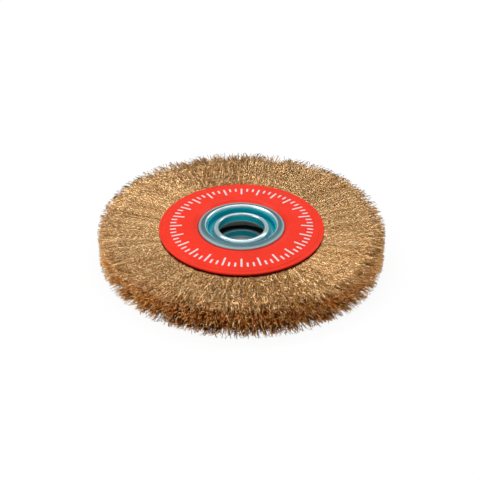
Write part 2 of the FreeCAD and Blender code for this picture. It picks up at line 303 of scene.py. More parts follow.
class Nodes:
    """Builds a tree of nodes step by step."""

    def __init__(self, tree):
        self.tree = tree

    def add(self, kind, values=None, **settings):
        """A node with its settings, and its inputs set to numbers or linked to other nodes' outputs."""
        node = self.tree.nodes.new(kind)
        for key, value in settings.items():
            setattr(node, key, value)
        for key, value in (values or {}).items():
            self.feed(node.inputs[key], value)
        return node

    def feed(self, socket, value):
        """Links an output to an input, or sets the input's number."""
        if isinstance(value, bpy.types.NodeSocket):
            self.tree.links.new(value, socket)
        else:
            socket.default_value = value

    def math(self, operation, first, second=0.0):
        """One step of arithmetic."""
        return self.add("ShaderNodeMath", {0: first, 1: second}, operation=operation).outputs[0]

    def scaled(self, value, factor, offset):
        """A value times a factor, plus an offset."""
        values = {0: value, 1: factor, 2: offset}
        return self.add("ShaderNodeMath", values, operation="MULTIPLY_ADD").outputs[0]

    def ramp(self, value, low, high, at_low=0.0, at_high=1.0):
        """A smooth change from one number at a low value to another at a high one."""
        values = {"Value": value, "From Min": low, "From Max": high, "To Min": at_low, "To Max": at_high}
        node = self.add("ShaderNodeMapRange", values, interpolation_type="SMOOTHSTEP")
        return node.outputs["Result"]

    def blend(self, amount, first, second):
        """A blend of two numbers."""
        values = {"Factor": amount, "A": first, "B": second}
        return self.add("ShaderNodeMix", values, data_type="FLOAT").outputs["Result"]

    def mix(self, amount, first, second):
        """A blend of two colours."""
        values = {"Factor": amount, "A": opaque(first), "B": opaque(second)}
        return self.add("ShaderNodeMix", values, data_type="RGBA").outputs["Result"]


class Recipe(Nodes):
    """A material built round its one shader, with patterns laid out in the brush's own frame."""

    def __init__(self, name):
        self.material = bpy.data.materials.new(name)
        self.material.use_nodes = True
        super().__init__(self.material.node_tree)
        self.shader = self.tree.nodes["Principled BSDF"]
        self.places = self.add("ShaderNodeTexCoord").outputs["Object"]

    def swept(self, along_x, along_y, along_z):
        """Places made up of three values, for patterns that follow them."""
        values = {0: along_x, 1: along_y, 2: along_z}
        return self.add("ShaderNodeCombineXYZ", values).outputs["Vector"]

    def attribute(self, name):
        """A number that each corner of the mesh carries."""
        return self.add("ShaderNodeAttribute", attribute_name=name).outputs["Fac"]

    def noise(self, size, places=None, detail=3.0):
        """A noise whose patches are about one size across, in metres."""
        values = {"Vector": places or self.places, "Scale": 1 / size, "Detail": detail}
        return self.add("ShaderNodeTexNoise", values).outputs["Fac"]

    def round_places(self):
        """Radius, height and turn about the brush's axis, for patterns that run round it."""
        parts = self.add("ShaderNodeSeparateXYZ", {"Vector": self.places}).outputs
        across = self.math("MULTIPLY", parts[0], parts[0])
        along = self.math("MULTIPLY", parts[1], parts[1])
        radius = self.math("SQRT", self.math("ADD", across, along))
        turn = self.math("ARCTAN2", parts[1], parts[0])
        return radius, parts[2], turn

    def bump(self, height, depth):
        """Raises the surface by a pattern, to a depth in metres."""
        values = {"Height": height, "Distance": depth, "Strength": 1.0}
        self.feed(self.shader.inputs["Normal"], self.add("ShaderNodeBump", values).outputs["Normal"])

    def finish(self, **values):
        """Sets the shader's inputs and gives the material back."""
        for key, value in values.items():
            self.feed(self.shader.inputs[key.replace("_", " ")], opaque(value))
        return self.material


def opaque(value):
    """A colour setting with full alpha; anything else is left as it is."""
    if isinstance(value, bpy.types.NodeSocket) or not hasattr(value, "__len__"):
        return value
    return (*value, 1.0)[:4]


def toned(shade, part):
    """A colour made darker or lighter."""
    return tuple(part * value for value in shade)


def gloss_red_paint(settings):
    """Sprayed red enamel: slight orange peel, fine scuffs, thinner on the lip's edge, painted shadow by the
    eyelet.
    """
    recipe = Recipe("gloss_red_paint")
    radius = recipe.round_places()[0]
    cloud = recipe.noise(14 * MM)
    scuffs = recipe.noise(0.5 * MM, detail=6.0)
    body = recipe.mix(recipe.ramp(cloud, 0.3, 0.7), settings.paint, toned(settings.paint, 0.92))
    edge = recipe.ramp(radius, PLATE_RADIUS - 0.25 * MM, PLATE_RADIUS)
    worn = recipe.math("MULTIPLY", edge, recipe.ramp(scuffs, 0.45, 0.7))
    base = recipe.mix(worn, body, settings.worn)
    # Painted shadow: the paint darkens in a ring beside the eyelet's flange, where its edge throws shade
    corner = recipe.ramp(radius, EYELET_HIGH.x + 1.4 * MM, EYELET_HIGH.x + 0.2 * MM)
    base = recipe.mix(recipe.math("MULTIPLY", corner, 0.7), base, settings.corner)
    roughness = recipe.scaled(recipe.ramp(scuffs, 0.35, 0.75), 0.12, 0.26)
    recipe.bump(recipe.noise(1.6 * MM, detail=1.0), 0.02 * MM)
    return recipe.finish(Base_Color=base, Roughness=roughness, Specular_IOR_Level=0.12)


def white_print(settings):
    """Pad-printed white ink, a little thin in places."""
    recipe = Recipe("white_print")
    grain = recipe.noise(0.35 * MM, detail=4.0)
    thin = recipe.ramp(grain, 0.62, 0.8)
    base = recipe.mix(thin, settings.ink, settings.thin_ink)
    recipe.bump(grain, 0.01 * MM)
    return recipe.finish(Base_Color=base, Roughness=0.45)


def brushed_turns(recipe, radius, height, turn):
    """Fine raised lines that run round the axis, as a spun or rolled edge shows."""
    around = recipe.swept(radius, height, recipe.math("MULTIPLY", turn, 0.6 * MM))
    lines = recipe.noise(0.22 * MM, around, detail=5.0)
    recipe.bump(lines, 0.005 * MM)
    return lines


def eyelet_zinc(settings):
    """Zinc with painted highlights in silver inside the ridge and at the flange's edge, duller blue grey on
    the flange, bare steel in the tube.
    """
    recipe = Recipe("eyelet_zinc")
    radius, height, turn = recipe.round_places()
    lines = brushed_turns(recipe, radius, height, turn)
    ridge = EYELET_HIGH.x - 4.2 * MM
    flange = recipe.ramp(radius, ridge - 0.4 * MM, ridge)
    edge = recipe.ramp(radius, EYELET_HIGH.x - 2.4 * MM, EYELET_HIGH.x - 0.6 * MM)
    rise = recipe.math("ABSOLUTE", height)
    inside = recipe.ramp(rise, REDUCER_HIGH.z - 2.6 * MM, REDUCER_HIGH.z - 3.4 * MM)
    # Painted highlight: silver inside the ridge, on the same zinc as the grey flange
    clean = recipe.mix(flange, settings.silver, settings.grey)
    # Painted highlight: the flange's outer edge is paler
    clean = recipe.mix(recipe.math("MULTIPLY", edge, 0.35), clean, settings.silver)
    base = recipe.mix(inside, clean, settings.bare)
    roughness = recipe.scaled(flange, 0.2, recipe.ramp(lines, -0.5, 2.2))
    dimmed = recipe.math("MAXIMUM", recipe.math("MULTIPLY", flange, 0.3), inside)
    metallic = recipe.math("SUBTRACT", 0.9, dimmed)
    return recipe.finish(Base_Color=base, Metallic=metallic, Roughness=roughness)


def reducer_zinc(settings):
    """Blue-tinted zinc; painted shade on the wall, low in the bore and towards the other cup; painted
    highlights on bead and edge.
    """
    recipe = Recipe("reducer_zinc")
    radius, height, turn = recipe.round_places()
    lines = brushed_turns(recipe, radius, height, turn)
    blotch = recipe.noise(5 * MM)
    rise = recipe.math("ABSOLUTE", height)
    level = recipe.math("ADD", rise, recipe.math("MULTIPLY", blotch, 1.2 * MM))
    shoulder = recipe.ramp(radius, BORE_RADIUS + 1.0 * MM, BORE_RADIUS + 2.2 * MM)
    level = recipe.math("ADD", level, recipe.math("MULTIPLY", shoulder, 3.4 * MM))
    # Painted highlight: pewter on the bead's crest
    crest = recipe.ramp(level, REDUCER_HIGH.z - 1.4 * MM, REDUCER_HIGH.z + 0.3 * MM)
    bead = recipe.ramp(radius, REDUCER_HIGH.x - 2.2 * MM, REDUCER_HIGH.x - 2.6 * MM)
    highlighted = recipe.math("MULTIPLY", crest, bead)
    wall = recipe.ramp(radius, REDUCER_HIGH.x - 3.4 * MM, REDUCER_HIGH.x - 2.2 * MM)
    collar = recipe.ramp(radius, BORE_RADIUS + 1.1 * MM, BORE_RADIUS + 0.9 * MM)
    # Painted shade: the lower collar, low in the bore, takes a darker teal
    below = recipe.math("MULTIPLY", collar, recipe.ramp(height, 0.0, -REDUCER_LOW.z))
    # Painted shade: the valley's wall takes a darker teal
    tinted = recipe.mix(wall, settings.teal, toned(settings.teal, 0.82))
    tinted = recipe.mix(below, tinted, toned(settings.teal, 0.55))
    tinted = recipe.mix(highlighted, tinted, settings.pewter)
    # Painted highlight: a pewter line along the collar's end edge
    edge = recipe.ramp(rise, REDUCER_LOW.z + 0.5 * MM, REDUCER_LOW.z + 0.2 * MM)
    rubbed = recipe.mix(recipe.math("MULTIPLY", edge, collar), tinted, settings.pewter)
    # Painted shade: near black on the cups' inner sides, in the hub's closed cavity
    low = recipe.ramp(rise, REDUCER_LOW.z + 1.1 * MM, REDUCER_LOW.z + 1.0 * MM)
    inner = recipe.math("MULTIPLY", low, recipe.math("SUBTRACT", 1.0, collar))
    base = recipe.mix(inner, rubbed, settings.dark)
    dull = recipe.scaled(wall, 0.24, 0.14)
    satin = recipe.math("MULTIPLY", recipe.math("SUBTRACT", 1.0, highlighted), dull)
    roughness = recipe.math("ADD", satin, recipe.ramp(lines, -0.1, 2.0))
    return recipe.finish(Base_Color=base, Metallic=0.7, Roughness=roughness, Specular_IOR_Level=0.25)


def drawn_steel(settings):
    """Plain drawn wire for the ring inside the plates."""
    recipe = Recipe("drawn_steel")
    grain = recipe.noise(0.8 * MM, detail=5.0)
    base = recipe.mix(grain, settings.drawn, settings.drawn_dark)
    recipe.bump(grain, 0.02 * MM)
    return recipe.finish(Base_Color=base, Metallic=1.0, Roughness=0.42)


def brass_coated_wire(settings):
    """Crimped steel wire with a brass coating, each wire tarnished its own way; painted shade inside the rim
    and to one side.
    """
    recipe = Recipe("brass_coated_wire")
    tone = recipe.attribute("wire_tone")
    patches = recipe.ramp(recipe.noise(1.3 * MM, detail=1.0), 0.35, 0.65)
    specks = recipe.noise(0.3 * MM, detail=4.0)
    turn = recipe.round_places()[2]
    across = recipe.math("POWER", recipe.math("SINE", turn), 2.0)
    mottling = recipe.scaled(across, 0.4, 0.15)
    spotted = recipe.scaled(recipe.math("SUBTRACT", patches, 0.5), mottling, tone)
    coat_and_shade = recipe.mix(recipe.ramp(spotted, 0.1, 0.9), settings.bright, settings.dull)
    # Painted shade and bounce light: wire ends inside the rim turn orange-brown
    coat_and_shade = recipe.mix(recipe.ramp(tone, 1.0, 1.8), coat_and_shade, settings.shaded_amber)
    tip = recipe.ramp(recipe.attribute("wire_reach"), 0.95, 1.0)
    base = recipe.mix(tip, coat_and_shade, settings.cut)
    roughness = recipe.scaled(specks, 0.2, 0.13)
    recipe.bump(specks, 0.01 * MM)
    return recipe.finish(Base_Color=base, Metallic=1.0, Roughness=roughness)


def shaded_packed_wire(settings):
    """Wire deep in a tuft, painted dark as its shade, with streaks that run out from the axis."""
    recipe = Recipe("shaded_packed_wire")
    radius, height, turn = recipe.round_places()
    along = recipe.math("MULTIPLY", radius, 0.12)
    outward = recipe.swept(along, recipe.math("MULTIPLY", turn, 80 * MM), height)
    streaks = recipe.noise(0.5 * MM, outward, detail=4.0)
    base = recipe.mix(recipe.ramp(streaks, 0.4, 0.7), settings.deep, toned(settings.deep, 2.2))
    recipe.bump(streaks, 0.3 * MM)
    return recipe.finish(Base_Color=base, Metallic=0.6, Roughness=0.5)


def dress(node, material):
    """Gives a CAD node one material in place of its own."""
    slots = frame["nodes"][node].data.materials
    slots.clear()
    slots.append(material)


# Modelling by hand

def start_fresh():
    """Leaves edit mode and deselects everything, so that only the new piece is shaped."""
    if bpy.context.object and bpy.context.object.mode != "OBJECT":
        bpy.ops.object.mode_set(mode="OBJECT")
    bpy.ops.object.select_all(action="DESELECT")


def face_outwards():
    """Turns every face of the piece outwards."""
    bpy.ops.mesh.select_all(action="SELECT")
    bpy.ops.mesh.normals_make_consistent(inside=False)


def settle(name):
    """Ends the shaping of the active piece: object mode, named, place and size in its mesh."""
    bpy.ops.object.mode_set(mode="OBJECT")
    piece = bpy.context.object
    piece.name = name
    piece.data.name = name
    bpy.ops.object.transform_apply(location=True, rotation=True, scale=True)
    return piece


def wire_blank(bends):
    """A straight wire along X, one long and of radius one, with a ring of corners at each bend."""
    start_fresh()
    bpy.ops.mesh.primitive_circle_add(
        vertices=CORNERS, radius=1.0, fill_type="NGON", rotation=(0, math.pi / 2, 0)
    )
    bpy.ops.object.transform_apply(location=True, rotation=True, scale=True)
    bpy.ops.object.mode_set(mode="EDIT")
    bpy.ops.mesh.select_all(action="SELECT")
    for _ in range(bends):
        bpy.ops.mesh.extrude_region_move(TRANSFORM_OT_translate={"value": (1 / bends, 0, 0)})
    face_outwards()
    return settle("wire_blank")


def extrude_face_to(old, new):
    """Draws the selected end face out from one station (radius, width, low, high) to the next."""
    old_radius, old_width, old_low, old_high = old
    radius, width, low, high = new
    middle = (low + high) / 2
    rise = middle - (old_low + old_high) / 2
    bpy.ops.mesh.extrude_region_move(TRANSFORM_OT_translate={"value": (radius - old_radius, 0, rise)})
    stretch = (1, width / old_width, (high - low) / (old_high - old_low))
    bpy.ops.transform.resize(value=stretch, center_override=(radius, 0, middle))


def select_end_face(radius, side):
    """Selects the face that closes a leg: it looks outwards at this radius, above or below the ring."""
    near, upright = 0.01 * MM, 0.9
    bpy.ops.mesh.select_all(action="DESELECT")
    bpy.ops.object.mode_set(mode="OBJECT")
    for face in bpy.context.object.data.polygons:
        at_end = abs(face.center.x - radius) < near and abs(face.normal.x) > upright
        face.select = at_end and face.center.z * side > 0
    bpy.ops.object.mode_set(mode="EDIT")


def folded_core(settings):
    """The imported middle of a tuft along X: wire folded over the core ring, its two legs running outwards."""
    inner, outer = RING_WIRE / 2 + FOLD_CLEARANCE, FOLD_HEIGHT
    tangent = 2 * math.tan(SECTOR / 2)
    root_width = tangent * (RING_RADIUS - outer)
    start_fresh()
    bpy.ops.mesh.primitive_plane_add(
        size=1.0, location=(RING_RADIUS, 0, (inner + outer) / 2), rotation=(0, math.pi / 2, 0)
    )
    bpy.context.object.scale = (outer - inner, root_width, 1)
    bpy.ops.object.transform_apply(location=True, rotation=True, scale=True)
    bpy.ops.object.mode_set(mode="EDIT")
    bpy.ops.mesh.select_all(action="SELECT")
    bpy.ops.mesh.spin(steps=FOLD_STEPS, angle=-math.pi, center=(RING_RADIUS, 0, 0), axis=(0, 1, 0))
    lip_top = settings.root_half - settings.core_depth
    rim_top = FILL_HALF - settings.core_depth
    for side in (1, -1):
        select_end_face(RING_RADIUS, side)
        station = (RING_RADIUS, root_width, *sorted((side * inner, side * outer)))
        for radius, top in (
            (RING_RADIUS + 2 * outer, lip_top),
            (PLATE_RADIUS, lip_top),
            (settings.full_radius, rim_top),
            (settings.core_radius, rim_top),
        ):
            place = (radius, tangent * radius, *sorted((side * CORE_SLIT, side * top)))
            extrude_face_to(station, place)
            station = place
    face_outwards()
    bpy.ops.uv.smart_project()
    return settle("folded_core")


def surface_height(node, radius):
    """How high a node's top lies at a radius along X."""
    above = CAD_HIGH.z + 1 * MM
    hit, place = frame["nodes"][node].ray_cast((radius, 0, above), (0, 0, -1))[:2]
    if not hit:
        raise ValueError(f"{node} has no surface at {radius} m")
    return place.z


def printed_bar(inner, outer, turn, settings):
    """One bar of the scale on the plate: a sheet of ink laid out along X, tipped to the cone, then turned."""
    start = surface_height("upper_face_plate", inner)
    end = surface_height("upper_face_plate", outer)
    run = outer - inner
    middle = (inner + run / 2, 0, start)
    rounding = BAR_ROUNDING * settings.bar_width
    bpy.ops.mesh.primitive_plane_add(size=1.0, location=middle)
    bpy.ops.transform.resize(value=(run, settings.bar_width, 1), center_override=middle)
    bpy.ops.mesh.bevel(offset=rounding, segments=BAR_ROUND_STEPS, affect="VERTICES")
    bpy.ops.mesh.extrude_region_move(TRANSFORM_OT_translate={"value": (0, 0, settings.ink_thickness)})
    bpy.ops.mesh.select_linked()
    slope = math.atan2(start - end, run)
    bpy.ops.transform.rotate(value=-slope, orient_axis="Y", center_override=(inner, 0, start))
    bpy.ops.transform.rotate(value=-turn, orient_axis="Z", center_override=(0, 0, 0))


def printed_scale(settings):
    """The ring of bars on the upper plate: one long bar and its short ones, repeated round the axis."""
    middle = (settings.scale_inner + settings.scale_outer) / 2
    groups = settings.bars // settings.long_every
    start_fresh()
    bpy.ops.mesh.primitive_plane_add(size=1.0)
    bpy.ops.object.mode_set(mode="EDIT")
    bpy.ops.mesh.delete(type="VERT")
    for number in range(settings.long_every):
        inner = settings.scale_inner if number == 0 else middle
        bpy.ops.mesh.select_all(action="DESELECT")
        printed_bar(inner, settings.scale_outer, number * math.tau / settings.bars, settings)
    bpy.ops.mesh.select_all(action="SELECT")
    full = math.tau * (groups - 1) / groups
    bpy.ops.mesh.spin(steps=groups - 1, dupli=True, angle=full, center=(0, 0, 0), axis=(0, 0, 1))
    face_outwards()
    return settle("upper_plate_scale")


def copy_below(piece, name):
    """The same piece on the other side of the brush."""
    start_fresh()
    piece.select_set(True)
    bpy.context.view_layer.objects.active = piece
    bpy.ops.object.duplicate()
    bpy.ops.object.mode_set(mode="EDIT")
    bpy.ops.mesh.select_all(action="SELECT")
    bpy.ops.transform.rotate(value=math.pi, orient_axis="X", center_override=(0, 0, 0))
    return settle(name)


# The wire fill

def outline_of(mesh):
    """A mesh's corners, loops and first loop of each face, as arrays."""
    places = numpy.empty(len(mesh.vertices) * 3)
    mesh.vertices.foreach_get("co", places)
    loops = numpy.empty(len(mesh.loops), dtype=numpy.int64)
    mesh.loops.foreach_get("vertex_index", loops)
    starts = numpy.empty(len(mesh.polygons), dtype=numpy.int64)
    mesh.polygons.foreach_get("loop_start", starts)
    return places.reshape(-1, 3), loops, starts


def strip_map(blank):
    """The blank unrolled: along the wire by across it, with the end caps just past the ends."""
    mesh = blank.data
    cap, margin = 0.03, 0.1
    spots = numpy.zeros((len(mesh.loops), 2))
    for face in mesh.polygons:
        corners = [mesh.vertices[index].co for index in face.vertices]
        turns = [round(math.atan2(place.z, place.y) / math.tau * CORNERS) % CORNERS for place in corners]
        if len(corners) == CORNERS:
            outward = cap if corners[0].x > 0.5 else -cap
            for loop, place, turn in zip(face.loop_indices, corners, turns):
                spots[loop] = (place.x + outward * (turn > 0), turn / CORNERS)
            continue
        wraps = {0, CORNERS - 1} == set(turns)
        for loop, place, turn in zip(face.loop_indices, corners, turns):
            across = CORNERS if wraps and turn == 0 else turn
            spots[loop] = (place.x, across / CORNERS)
    spots[:, 0] = (spots[:, 0] + 2 * cap) / (1 + 4 * cap)
    spots[:, 1] = margin + (1 - 2 * margin) * spots[:, 1]
    return spots


def laid_out(spots, count, columns, low, high):
    """Copies of one strip, side by side in a band of the map."""
    rows = math.ceil(count / columns)
    index = numpy.arange(count)
    across = (index % columns) / columns
    up = low + (index // columns) / rows * (high - low)
    corner = numpy.stack([across, up], axis=1)
    size = numpy.array([1 / columns, (high - low) / rows])
    return (corner[:, None, :] + spots[None, :, :] * size).reshape(-1, 2)


def copies_of(blank, places, tones, spots):
    """Every wire of one kind as arrays, ready to be joined in one mesh."""
    corners, loops, starts = outline_of(blank.data)
    count = len(places)
    step = numpy.arange(count)[:, None]
    return {
        "places": places.reshape(-1, 3),
        "loops": (loops + step * len(corners)).ravel(),
        "starts": (starts + step * len(loops)).ravel(),
        "tones": numpy.repeat(tones, len(corners)),
        "reach": numpy.tile(corners[:, 0], count),
        "spots": spots,
        "slot": COATED_SLOT,
    }


def half_thickness(radius, settings):
    """Half the fill's thickness at a radius: thin at the plate's lip, full further out, less at the rim."""
    rise = (radius - PLATE_RADIUS) / (settings.full_radius - PLATE_RADIUS)
    fall = (radius - settings.full_radius) / (BRUSH_RADIUS - settings.full_radius)
    body = settings.root_half + (FILL_HALF - settings.root_half) * numpy.clip(rise, 0, 1)
    return body - settings.droop * numpy.clip(fall, 0, 1) ** 2


def bunching(draw, settings, turn, depth):
    """Finds the nearest of the tuft's clumps for each wire: the way to it, and how far its wires are cut."""
    clump_turn = draw.uniform(-0.5, 0.5, settings.clumps) * SECTOR
    clump_depth = draw.uniform(-CLUMP_REACH, CLUMP_REACH, settings.clumps)
    clump_depth = numpy.sign(clump_depth) * numpy.abs(clump_depth) ** CLUMP_CROWDING
    clump_cut = draw.uniform(0, 1, settings.clumps) ** 2
    aside = (clump_turn[None, :] - turn[:, None]) * BRUSH_RADIUS
    above = (clump_depth[None, :] - depth[:, None]) * FILL_HALF
    nearest = numpy.argmin(aside**2 + above**2, axis=1)
    row = numpy.arange(len(turn))
    return aside[row, nearest], above[row, nearest], clump_cut[nearest]


def wire_ends(draw, settings, offset, clump_cut, depth):
    """How far each wire is cut, how firmly its clump holds it and how far its end leans over, both ways."""
    count = len(clump_cut)
    kind = draw.uniform(0, 1, count)
    spike = kind < settings.spikes * (SPIKES_INSIDE + SPIKES_TO_FACE * depth**2)
    stray = kind > 1 - settings.strays
    chance = draw.uniform(0, 1, count)
    body = settings.body_cut + settings.body_spread * chance + settings.edge_cut * depth**2
    cut = numpy.where(stray, STRAY_CUT * settings.body_spread * chance, body)
    taper = numpy.clip(offset / settings.spike_width, 0, 1) ** 2
    point = settings.spike_spread * (BUNCH_CUT * clump_cut + OWN_CUT * chance) + settings.spike_point * taper
    cut = numpy.where(spike, point, cut)
    hold = numpy.where(spike, draw.uniform(*SPIKE_HOLD, count), draw.uniform(*BODY_HOLD, count))
    hold = numpy.where(stray, 0, hold)
    lean = numpy.where(stray, settings.splay, 0)[:, None] * draw.normal(0, 1, (count, 2))
    return cut, hold, lean


def standing_out(settings, angle):
    """How far the brush stands past its even round: nothing on the axes, most between them."""
    quarter = numpy.floor(angle / (math.pi / 2)).astype(int) % 4
    return numpy.array(settings.out_of_round)[quarter] * numpy.sin(2 * angle) ** 2


def darkening(settings, angle):
    """Painted shade: how much darker than the average the wires of each direction are made."""
    return settings.side_shade * numpy.cos(angle - settings.shaded_side)


def crimped(draw, settings, blank, bends, start, turn, depth, crimp, heading):
    """Bends copies of the blank into crimped wires of one tuft, which runs out along X until it is turned."""
    count = len(turn)
    shape = outline_of(blank.data)[0]
    along = shape[:, 0][None, :]
    bend = numpy.rint(along[0] * bends).astype(int)
    aside, above, clump_cut = bunching(draw, settings, turn, depth)
    cut, hold, lean = wire_ends(draw, settings, numpy.hypot(aside, above), clump_cut, depth)
    tip = BRUSH_RADIUS - TIP_GAP + standing_out(settings, heading + turn) - cut
    radius = start[:, None] + (tip - start)[:, None] * along
    onset = settings.rim_start + LOOSE_AFTER
    loose = numpy.clip((radius - onset) / (BRUSH_RADIUS - onset), 0, 1) ** LOOSE_POWER
    pull = hold[:, None] * loose
    bow = loose * (BRUSH_RADIUS - onset)
    drift = draw.normal(0, settings.wander, count)[:, None] * (radius - start[:, None])
    free = numpy.clip((radius - PLATE_RADIUS) / FREE_AFTER, FREE_LEAST, 1) * (1 - CALM_TIPS * loose)
    size = crimp * draw.uniform(*CRIMP_SIZES, (count, bends + 1))[:, bend]
    shift = draw.uniform(*CRIMP_SHIFT, count)[:, None]
    wave = size * numpy.cos(math.tau / CRIMP_BENDS * bend[None, :] + shift)
    quarter = draw.integers(0, 4, count) + 0.5 + draw.uniform(*PLANE_SHIFT, count)
    plane = math.pi / 2 * quarter[:, None]
    stand = draw.normal(0, settings.unevenness, (count, bends + 1, 2))[:, bend]
    sideways = drift + aside[:, None] * pull + lean[:, :1] * bow
    sideways = sideways + free * (wave * numpy.cos(plane) + stand[:, :, 0])
    height = depth[:, None] * half_thickness(radius, settings) + above[:, None] * pull + lean[:, 1:] * bow
    height = height + free * (wave * numpy.sin(plane) + stand[:, :, 1])
    half_wire = settings.thickness / 2 * draw.uniform(*GAUGES, count)[:, None]
    spin = draw.uniform(0, math.tau, count)[:, None]
    sideways = sideways + half_wire * (shape[:, 1] * numpy.cos(spin) - shape[:, 2] * numpy.sin(spin))
    height = height + half_wire * (shape[:, 1] * numpy.sin(spin) + shape[:, 2] * numpy.cos(spin))
    height = numpy.clip(height, -FILL_HALF - FACE_PLAY, FILL_HALF + FACE_PLAY)
    angle = turn[:, None] + sideways / radius
    return numpy.stack([radius * numpy.cos(angle), radius * numpy.sin(angle), height], axis=2)


def face_wires(draw, settings, blank, spots, heading):
    """The long wires that show on both faces of a tuft, side by side across it."""
    count = 2 * settings.face_wires
    place = numpy.arange(count) // 2
    turn = ((place + draw.uniform(*FACE_STRAY, count)) / settings.face_wires - 0.5) * SECTOR
    side = numpy.where(numpy.arange(count) % 2 == 0, 1, -1)
    strand = draw.normal(0, 1, settings.face_wires // settings.strand + 1)[place // settings.strand]
    sink = FACE_SINK * draw.uniform(0, 1, count)
    depth = side * (FACE_DEPTH - sink - STRAND_SINK * numpy.clip(strand, 0, STRAND_LIMIT))
    start = settings.face_start + draw.uniform(0, START_SPREAD, count)
    crimp = settings.crimp_depth
    places = crimped(draw, settings, blank, settings.face_bends, start, turn, depth, crimp, heading)
    combed = STRAND_TONE + COMBED_TONE * numpy.cos(heading + turn) ** 2
    # Tones: random per wire, alike along strands, with painted shade towards one side
    tones = draw.uniform(*FACE_TONES, count) + combed * strand + darkening(settings, heading + turn)
    return copies_of(blank, places, tones, spots)


def rim_wires(draw, settings, blank, spots, heading):
    """The wire ends that fill a tuft's rim between its faces."""
    count = settings.rim_wires
    turn = draw.uniform(*RIM_SPREAD, count) * SECTOR
    depth = draw.uniform(*RIM_DEPTHS, count)
    start = settings.rim_start + draw.uniform(0, START_SPREAD, count)
    crimp = RIM_CRIMP * settings.crimp_depth
    places = crimped(draw, settings, blank, settings.rim_bends, start, turn, depth, crimp, heading)
    # Painted shade and bounce light: wire ends lying inside the rim get an orange-brown tone
    inside = numpy.clip((AMBER_EDGE - numpy.abs(depth)) / AMBER_FADE, 0, 1)
    inside = inside * (draw.uniform(0, 1, count) > settings.unshaded_ends)
    # Painted shade: wires darker towards one side
    tones = draw.uniform(0, 1, count) + AMBER_TONE * inside + darkening(settings, heading + turn)
    return copies_of(blank, places, tones, spots)


def core_part(core):
    """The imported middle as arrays, in its own band of the map."""
    places, loops, starts = outline_of(core.data)
    spots = numpy.empty(len(loops) * 2)
    core.data.uv_layers.active.data.foreach_get("uv", spots)
    spots = spots.reshape(-1, 2) * (1, CORE_BAND)
    return {
        "places": places,
        "loops": loops,
        "starts": starts,
        "tones": numpy.ones(len(places)),
        "reach": numpy.zeros(len(places)),
        "spots": spots,
        "slot": PACKED_SLOT,
    }


def turned(places, angle):
    """Places turned about the brush's axis."""
    cosine, sine = math.cos(angle), math.sin(angle)
    return places @ numpy.array([[cosine, sine, 0], [-sine, cosine, 0], [0, 0, 1]])


def joined_mesh(name, parts, angle):
    """One mesh from several parts, turned to a tuft's place, with its map and its wires' tones."""
    places = turned(numpy.concatenate([part["places"] for part in parts]), angle)
    loops, starts, slots = [], [], []
    corner_count = loop_count = 0
    for part in parts:
        loops.append(part["loops"] + corner_count)
        starts.append(part["starts"] + loop_count)
        slots.append(numpy.full(len(part["starts"]), part["slot"]))
        corner_count += len(part["places"])
        loop_count += len(part["loops"])
    starts = numpy.concatenate(starts)
    mesh = bpy.data.meshes.new(name)
    mesh.vertices.add(corner_count)
    mesh.vertices.foreach_set("co", places.ravel())
    mesh.loops.add(loop_count)
    mesh.loops.foreach_set("vertex_index", numpy.concatenate(loops))
    mesh.polygons.add(len(starts))
    mesh.polygons.foreach_set("loop_start", starts)
    mesh.polygons.foreach_set("material_index", numpy.concatenate(slots))
    mesh.update(calc_edges=True)
    mesh.shade_smooth()
    for label, key in (("wire_tone", "tones"), ("wire_reach", "reach")):
        values = mesh.attributes.new(label, "FLOAT", "POINT")
        values.data.foreach_set("value", numpy.concatenate([part[key] for part in parts]))
    spots = mesh.uv_layers.new(name="OFBake")
    spots.data.foreach_set("uv", numpy.concatenate([part["spots"] for part in parts]).ravel())
    return mesh


class BRUSH_OT_wire_fill(Operator):
    """Fill every tuft with crimped wire"""

    bl_idname = "brush.wire_fill"
    bl_label = "Wire Fill"

    def execute(self, context):
        settings = context.scene.brush_wire
        coated = brass_coated_wire(settings)
        packed = shaded_packed_wire(settings)
        long_blank = wire_blank(settings.face_bends)
        short_blank = wire_blank(settings.rim_bends)
        core = folded_core(settings)
        long_spots = laid_out(strip_map(long_blank), 2 * settings.face_wires, *LONG_BAND)
        short_spots = laid_out(strip_map(short_blank), settings.rim_wires, *SHORT_BAND)
        middle = core_part(core)
        for number, node in enumerate(TUFTS):
            draw = numpy.random.default_rng(settings.seed + number)
            heading = number * SECTOR
            parts = [
                face_wires(draw, settings, long_blank, long_spots, heading),
                rim_wires(draw, settings, short_blank, short_spots, heading),
                middle,
            ]
            name = node.replace("wire_tuft", "tuft_wires")
            mesh = joined_mesh(name, parts, heading)
            mesh.materials.append(coated)
            mesh.materials.append(packed)
            piece = bpy.data.objects.new(name, mesh)
            context.scene.collection.objects.link(piece)
            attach(piece, "root")
            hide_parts(node)
        for pattern in (long_blank, short_blank, core):
            bpy.data.objects.remove(pattern)
        return {"FINISHED"}


# The plates and the hub

class BRUSH_OT_plate_paint(Operator):
    """Paint both face plates red"""

    bl_idname = "brush.plate_paint"
    bl_label = "Plate Paint"

    def execute(self, context):
        paint = gloss_red_paint(context.scene.brush_plates)
        dress("upper_face_plate", paint)
        dress("lower_face_plate", paint)
        return {"FINISHED"}


class BRUSH_OT_plate_print(Operator):
    """Print the scale of bars on both face plates"""

    bl_idname = "brush.plate_print"
    bl_label = "Plate Print"

    def execute(self, context):
        settings = context.scene.brush_plates
        upper = printed_scale(settings)
        upper.data.materials.append(white_print(settings))
        lower = copy_below(upper, "lower_plate_scale")
        for piece in (upper, lower):
            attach(piece, "root")
        return {"FINISHED"}


